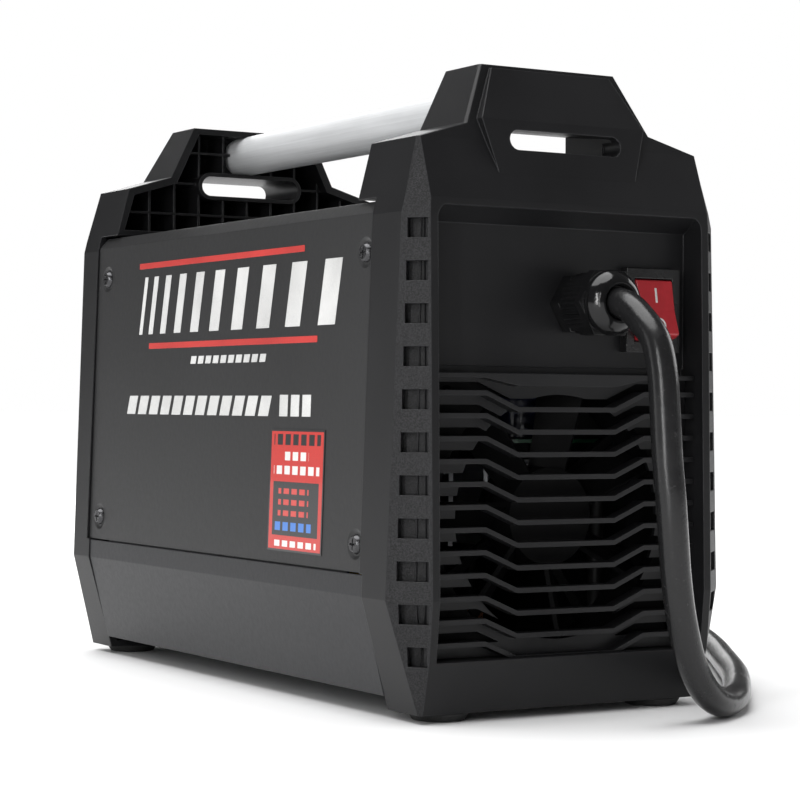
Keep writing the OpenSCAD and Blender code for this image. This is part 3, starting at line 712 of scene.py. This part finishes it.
def dial_figures():
    rows = []
    for k in range(6):
        angle = math.radians(90 + DIAL_SWEEP - 2 * DIAL_SWEEP * k / 5)
        u0, v0 = DIALS["current"][:2]
        rows.append((str(2 * k), u0 + 20.6 * math.cos(angle), v0 + 20.0 * math.sin(angle)))
    figures("current_figures", rows, 3.6)
    u0, v0 = DIALS["force"][:2]
    ends = [(word, u0 + side * 9, v0 - 14.5) for word, side in (("0", -1), ("10", 1))]
    figures("force_figures", ends, 3.4)


def polarity_marks():
    """Plus and minus over the two output sockets."""
    plus = [bar(33, 79.2, 43, 80.8), bar(37.2, 75.6, 38.8, 79.2), bar(37.2, 80.8, 38.8, 84.4)]
    place = on_panel(RECESS_FRONT)
    piece("plus_mark", *prisms(plus, place, -0.02, 0.1), "print_white")
    piece("minus_mark", *prisms([bar(-43, 79.2, -33, 80.8)], place, -0.02, 0.1), "print_white")


def display_figures():
    """Unlit bars of a three-figure display."""
    left, foot, pitch, lean = 13.2, 180.0, 10.2, 0.6
    width, rise, thick = 5.2, 4.7, 0.9
    bars = []
    for k in range(3):
        u = left + pitch * k
        for row in range(3):
            u0, v0 = u + thick + lean * row, foot + rise * row
            bars.append(bar(u0, v0, u0 + 4.2, v0 + thick))
        for row in range(2):
            for edge in (0, width):
                u0, v0 = u + edge + lean * row, foot + rise * row + 1.1
                bars.append(bar(u0, v0, u0 + thick, v0 + 3.4, lean))
    piece("display_figures", *prisms(bars, on_panel(DISPLAY_FRONT), -0.02, 0.05), "display_bars")


def plug_grips():
    """Raised rings that the fingers hold the plug by."""
    start = COIL + Vector((0, 0, CORD + 13))
    angle = math.radians(230)
    start += (COIL_RADIUS - CORD + 10) * Vector((math.cos(angle), math.sin(angle), 0))
    out = Vector((math.cos(angle + math.pi / 2), math.sin(angle + math.pi / 2), 0))
    side = Vector((-out.y, out.x, 0))

    def place(u, v, lift):
        return start + out * lift + side * u + Vector((0, 0, v))

    rings = []
    for k in range(6):
        h = 35.2 + 3.9 * k
        rings.append([(16.6, h), (17.6, h + 0.2), (18, h + 1.0), (17.6, h + 1.8), (16.6, h + 2.0)])
    return piece("plug_grips", *turned(rings, place), "plug_plastic", smooth=True)


def coil_tie():
    """Hook-and-loop band round the three turns of the coil, with its tongue on top."""
    middle, half_turn, steps, sides = 300, 7.5, 6, 40
    points, faces = [], []

    def outline(grown):
        loop = []
        for k in range(sides):
            a = 2 * math.pi * (k + 0.5) / sides
            reach = CORD / 2 + grown
            flat = CORD * (1 if math.cos(a) > 0 else -1)
            drop = max(reach * math.sin(a), -(CORD / 2 + min(grown, 0.2)))
            loop.append((flat + reach * math.cos(a), drop))
        return loop

    loops = []
    for grown, turns in ((1.1, range(steps + 1)), (0.05, reversed(range(steps + 1)))):
        for k in turns:
            degrees = middle - half_turn + 2 * half_turn * k / steps
            loops.append([coil_point(degrees, COIL_RADIUS + u, v) for u, v in outline(grown)])
    for loop in loops:
        points += loop
    for k in range(len(loops)):
        here, there = sides * k, sides * ((k + 1) % len(loops))
        for i in range(sides):
            j = (i + 1) % sides
            faces.append([here + i, here + j, there + j, there + i])
    band = piece("coil_tie", points, faces, "hook_band", smooth=True)

    def on_top(u, v, lift):
        return coil_point(middle + math.degrees(v / COIL_RADIUS), COIL_RADIUS + u, CORD / 2 + lift)

    half_width, turns = 5.5, (-1.57, -1.0, -0.5, 0, 0.5, 1.0, 1.57)
    tip = [(12 + 3 * math.cos(a), half_width * math.sin(a)) for a in turns]
    outline_of_tongue = [(-9, -half_width), *tip, (-9, half_width)]
    tongue = prisms([outline_of_tongue], on_top, 1.0, 2.0)
    flap = piece("coil_tie_tongue", *tongue, "hook_band")
    return [band, flap]


# ---------------- light and floor ----------------


def soft_light(name, place, target, size, power):
    data = bpy.data.lights.new(name, "AREA")
    data.shape = "RECTANGLE"
    data.size, data.size_y = size
    data.energy = power
    lamp = bpy.data.objects.new(name, data)
    lamp.location = place
    lamp.rotation_euler = (Vector(target) - Vector(place)).to_track_quat("-Z", "Y").to_euler()
    scene.collection.objects.link(lamp)


# strength of the surroundings for the parts and, behind them, for the eye
AROUND, BEHIND = 0.1, 1.0


def light_room():
    """Soft overhead light, a broad light along the flank and narrow ones for the edges."""
    world = bpy.data.worlds.new("studio")
    scene.world = world
    world.use_nodes = True
    tree = world.node_tree
    tree.nodes.clear()
    seen = tree.nodes.new("ShaderNodeLightPath").outputs["Is Camera Ray"]
    shades = []
    for strength in (AROUND, BEHIND):
        shade = tree.nodes.new("ShaderNodeBackground")
        shade.inputs["Color"].default_value = (1, 1, 1, 1)
        shade.inputs["Strength"].default_value = strength
        shades.append(shade.outputs[0])
    mixed = tree.nodes.new("ShaderNodeMixShader")
    tree.links.new(seen, mixed.inputs[0])
    tree.links.new(shades[0], mixed.inputs[1])
    tree.links.new(shades[1], mixed.inputs[2])
    out = tree.nodes.new("ShaderNodeOutputWorld")
    tree.links.new(mixed.outputs[0], out.inputs["Surface"])
    sky = bpy.data.lights.new("overhead", "SUN")
    sky.energy, sky.angle = 3.7, math.radians(60)
    overhead = bpy.data.objects.new("overhead", sky)
    overhead.rotation_euler = (math.radians(8), math.radians(10), 0)
    scene.collection.objects.link(overhead)
    soft_light("flank_light", (2.0, -1.1, 0.6), (0, -0.05, 0.12), (1.4, 1.2), 7)
    soft_light("edge_light", (1.5, 1.15, 0.45), (0.05, 0.17, 0.15), (0.12, 1.3), 12)
    soft_light("cord_light", (0.556, 0.711, 0.3), (-0.01, 0.22, 0.3), (0.02, 0.6), 0.75)
    soft_light("front_light", (-0.75, -1.9, 0.85), (0, 0, 0.15), (1.4, 0.9), 14)
    soft_light("far_light", (-2.0, 0.1, 0.9), (0, 0, 0.12), (1.4, 1.0), 12)


def lay_floor():
    mesh = bpy.data.meshes.new("floor")
    reach = 40.0
    below_feet = 0.0002
    corners = [(-reach, -reach, 0), (reach, -reach, 0), (reach, reach, 0), (-reach, reach, 0)]
    mesh.from_pydata(corners, [], [(0, 1, 2, 3)])
    floor = bpy.data.objects.new("floor", mesh)
    scene.collection.objects.link(floor)
    floor.location.z = -below_feet
    f = Finish("floor_paper", (0.86, 0.86, 0.86), 0.8, Specular_IOR_Level=0.1)
    cloud = f.noise(3, 3)
    f.set("Base Color", f.mix(cloud, (0.85, 0.85, 0.855), (0.88, 0.88, 0.88)))
    f.set("Roughness", cloud * 0.1 + 0.75)
    mesh.materials.append(f.material)


scene.view_settings.view_transform = "Standard"
dress_frame()
flank_print()
rocker_marks()
dial_marks()
dial_figures()
polarity_marks()
display_figures()
light_room()
lay_floor()

plug_grips()
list(coil_tie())
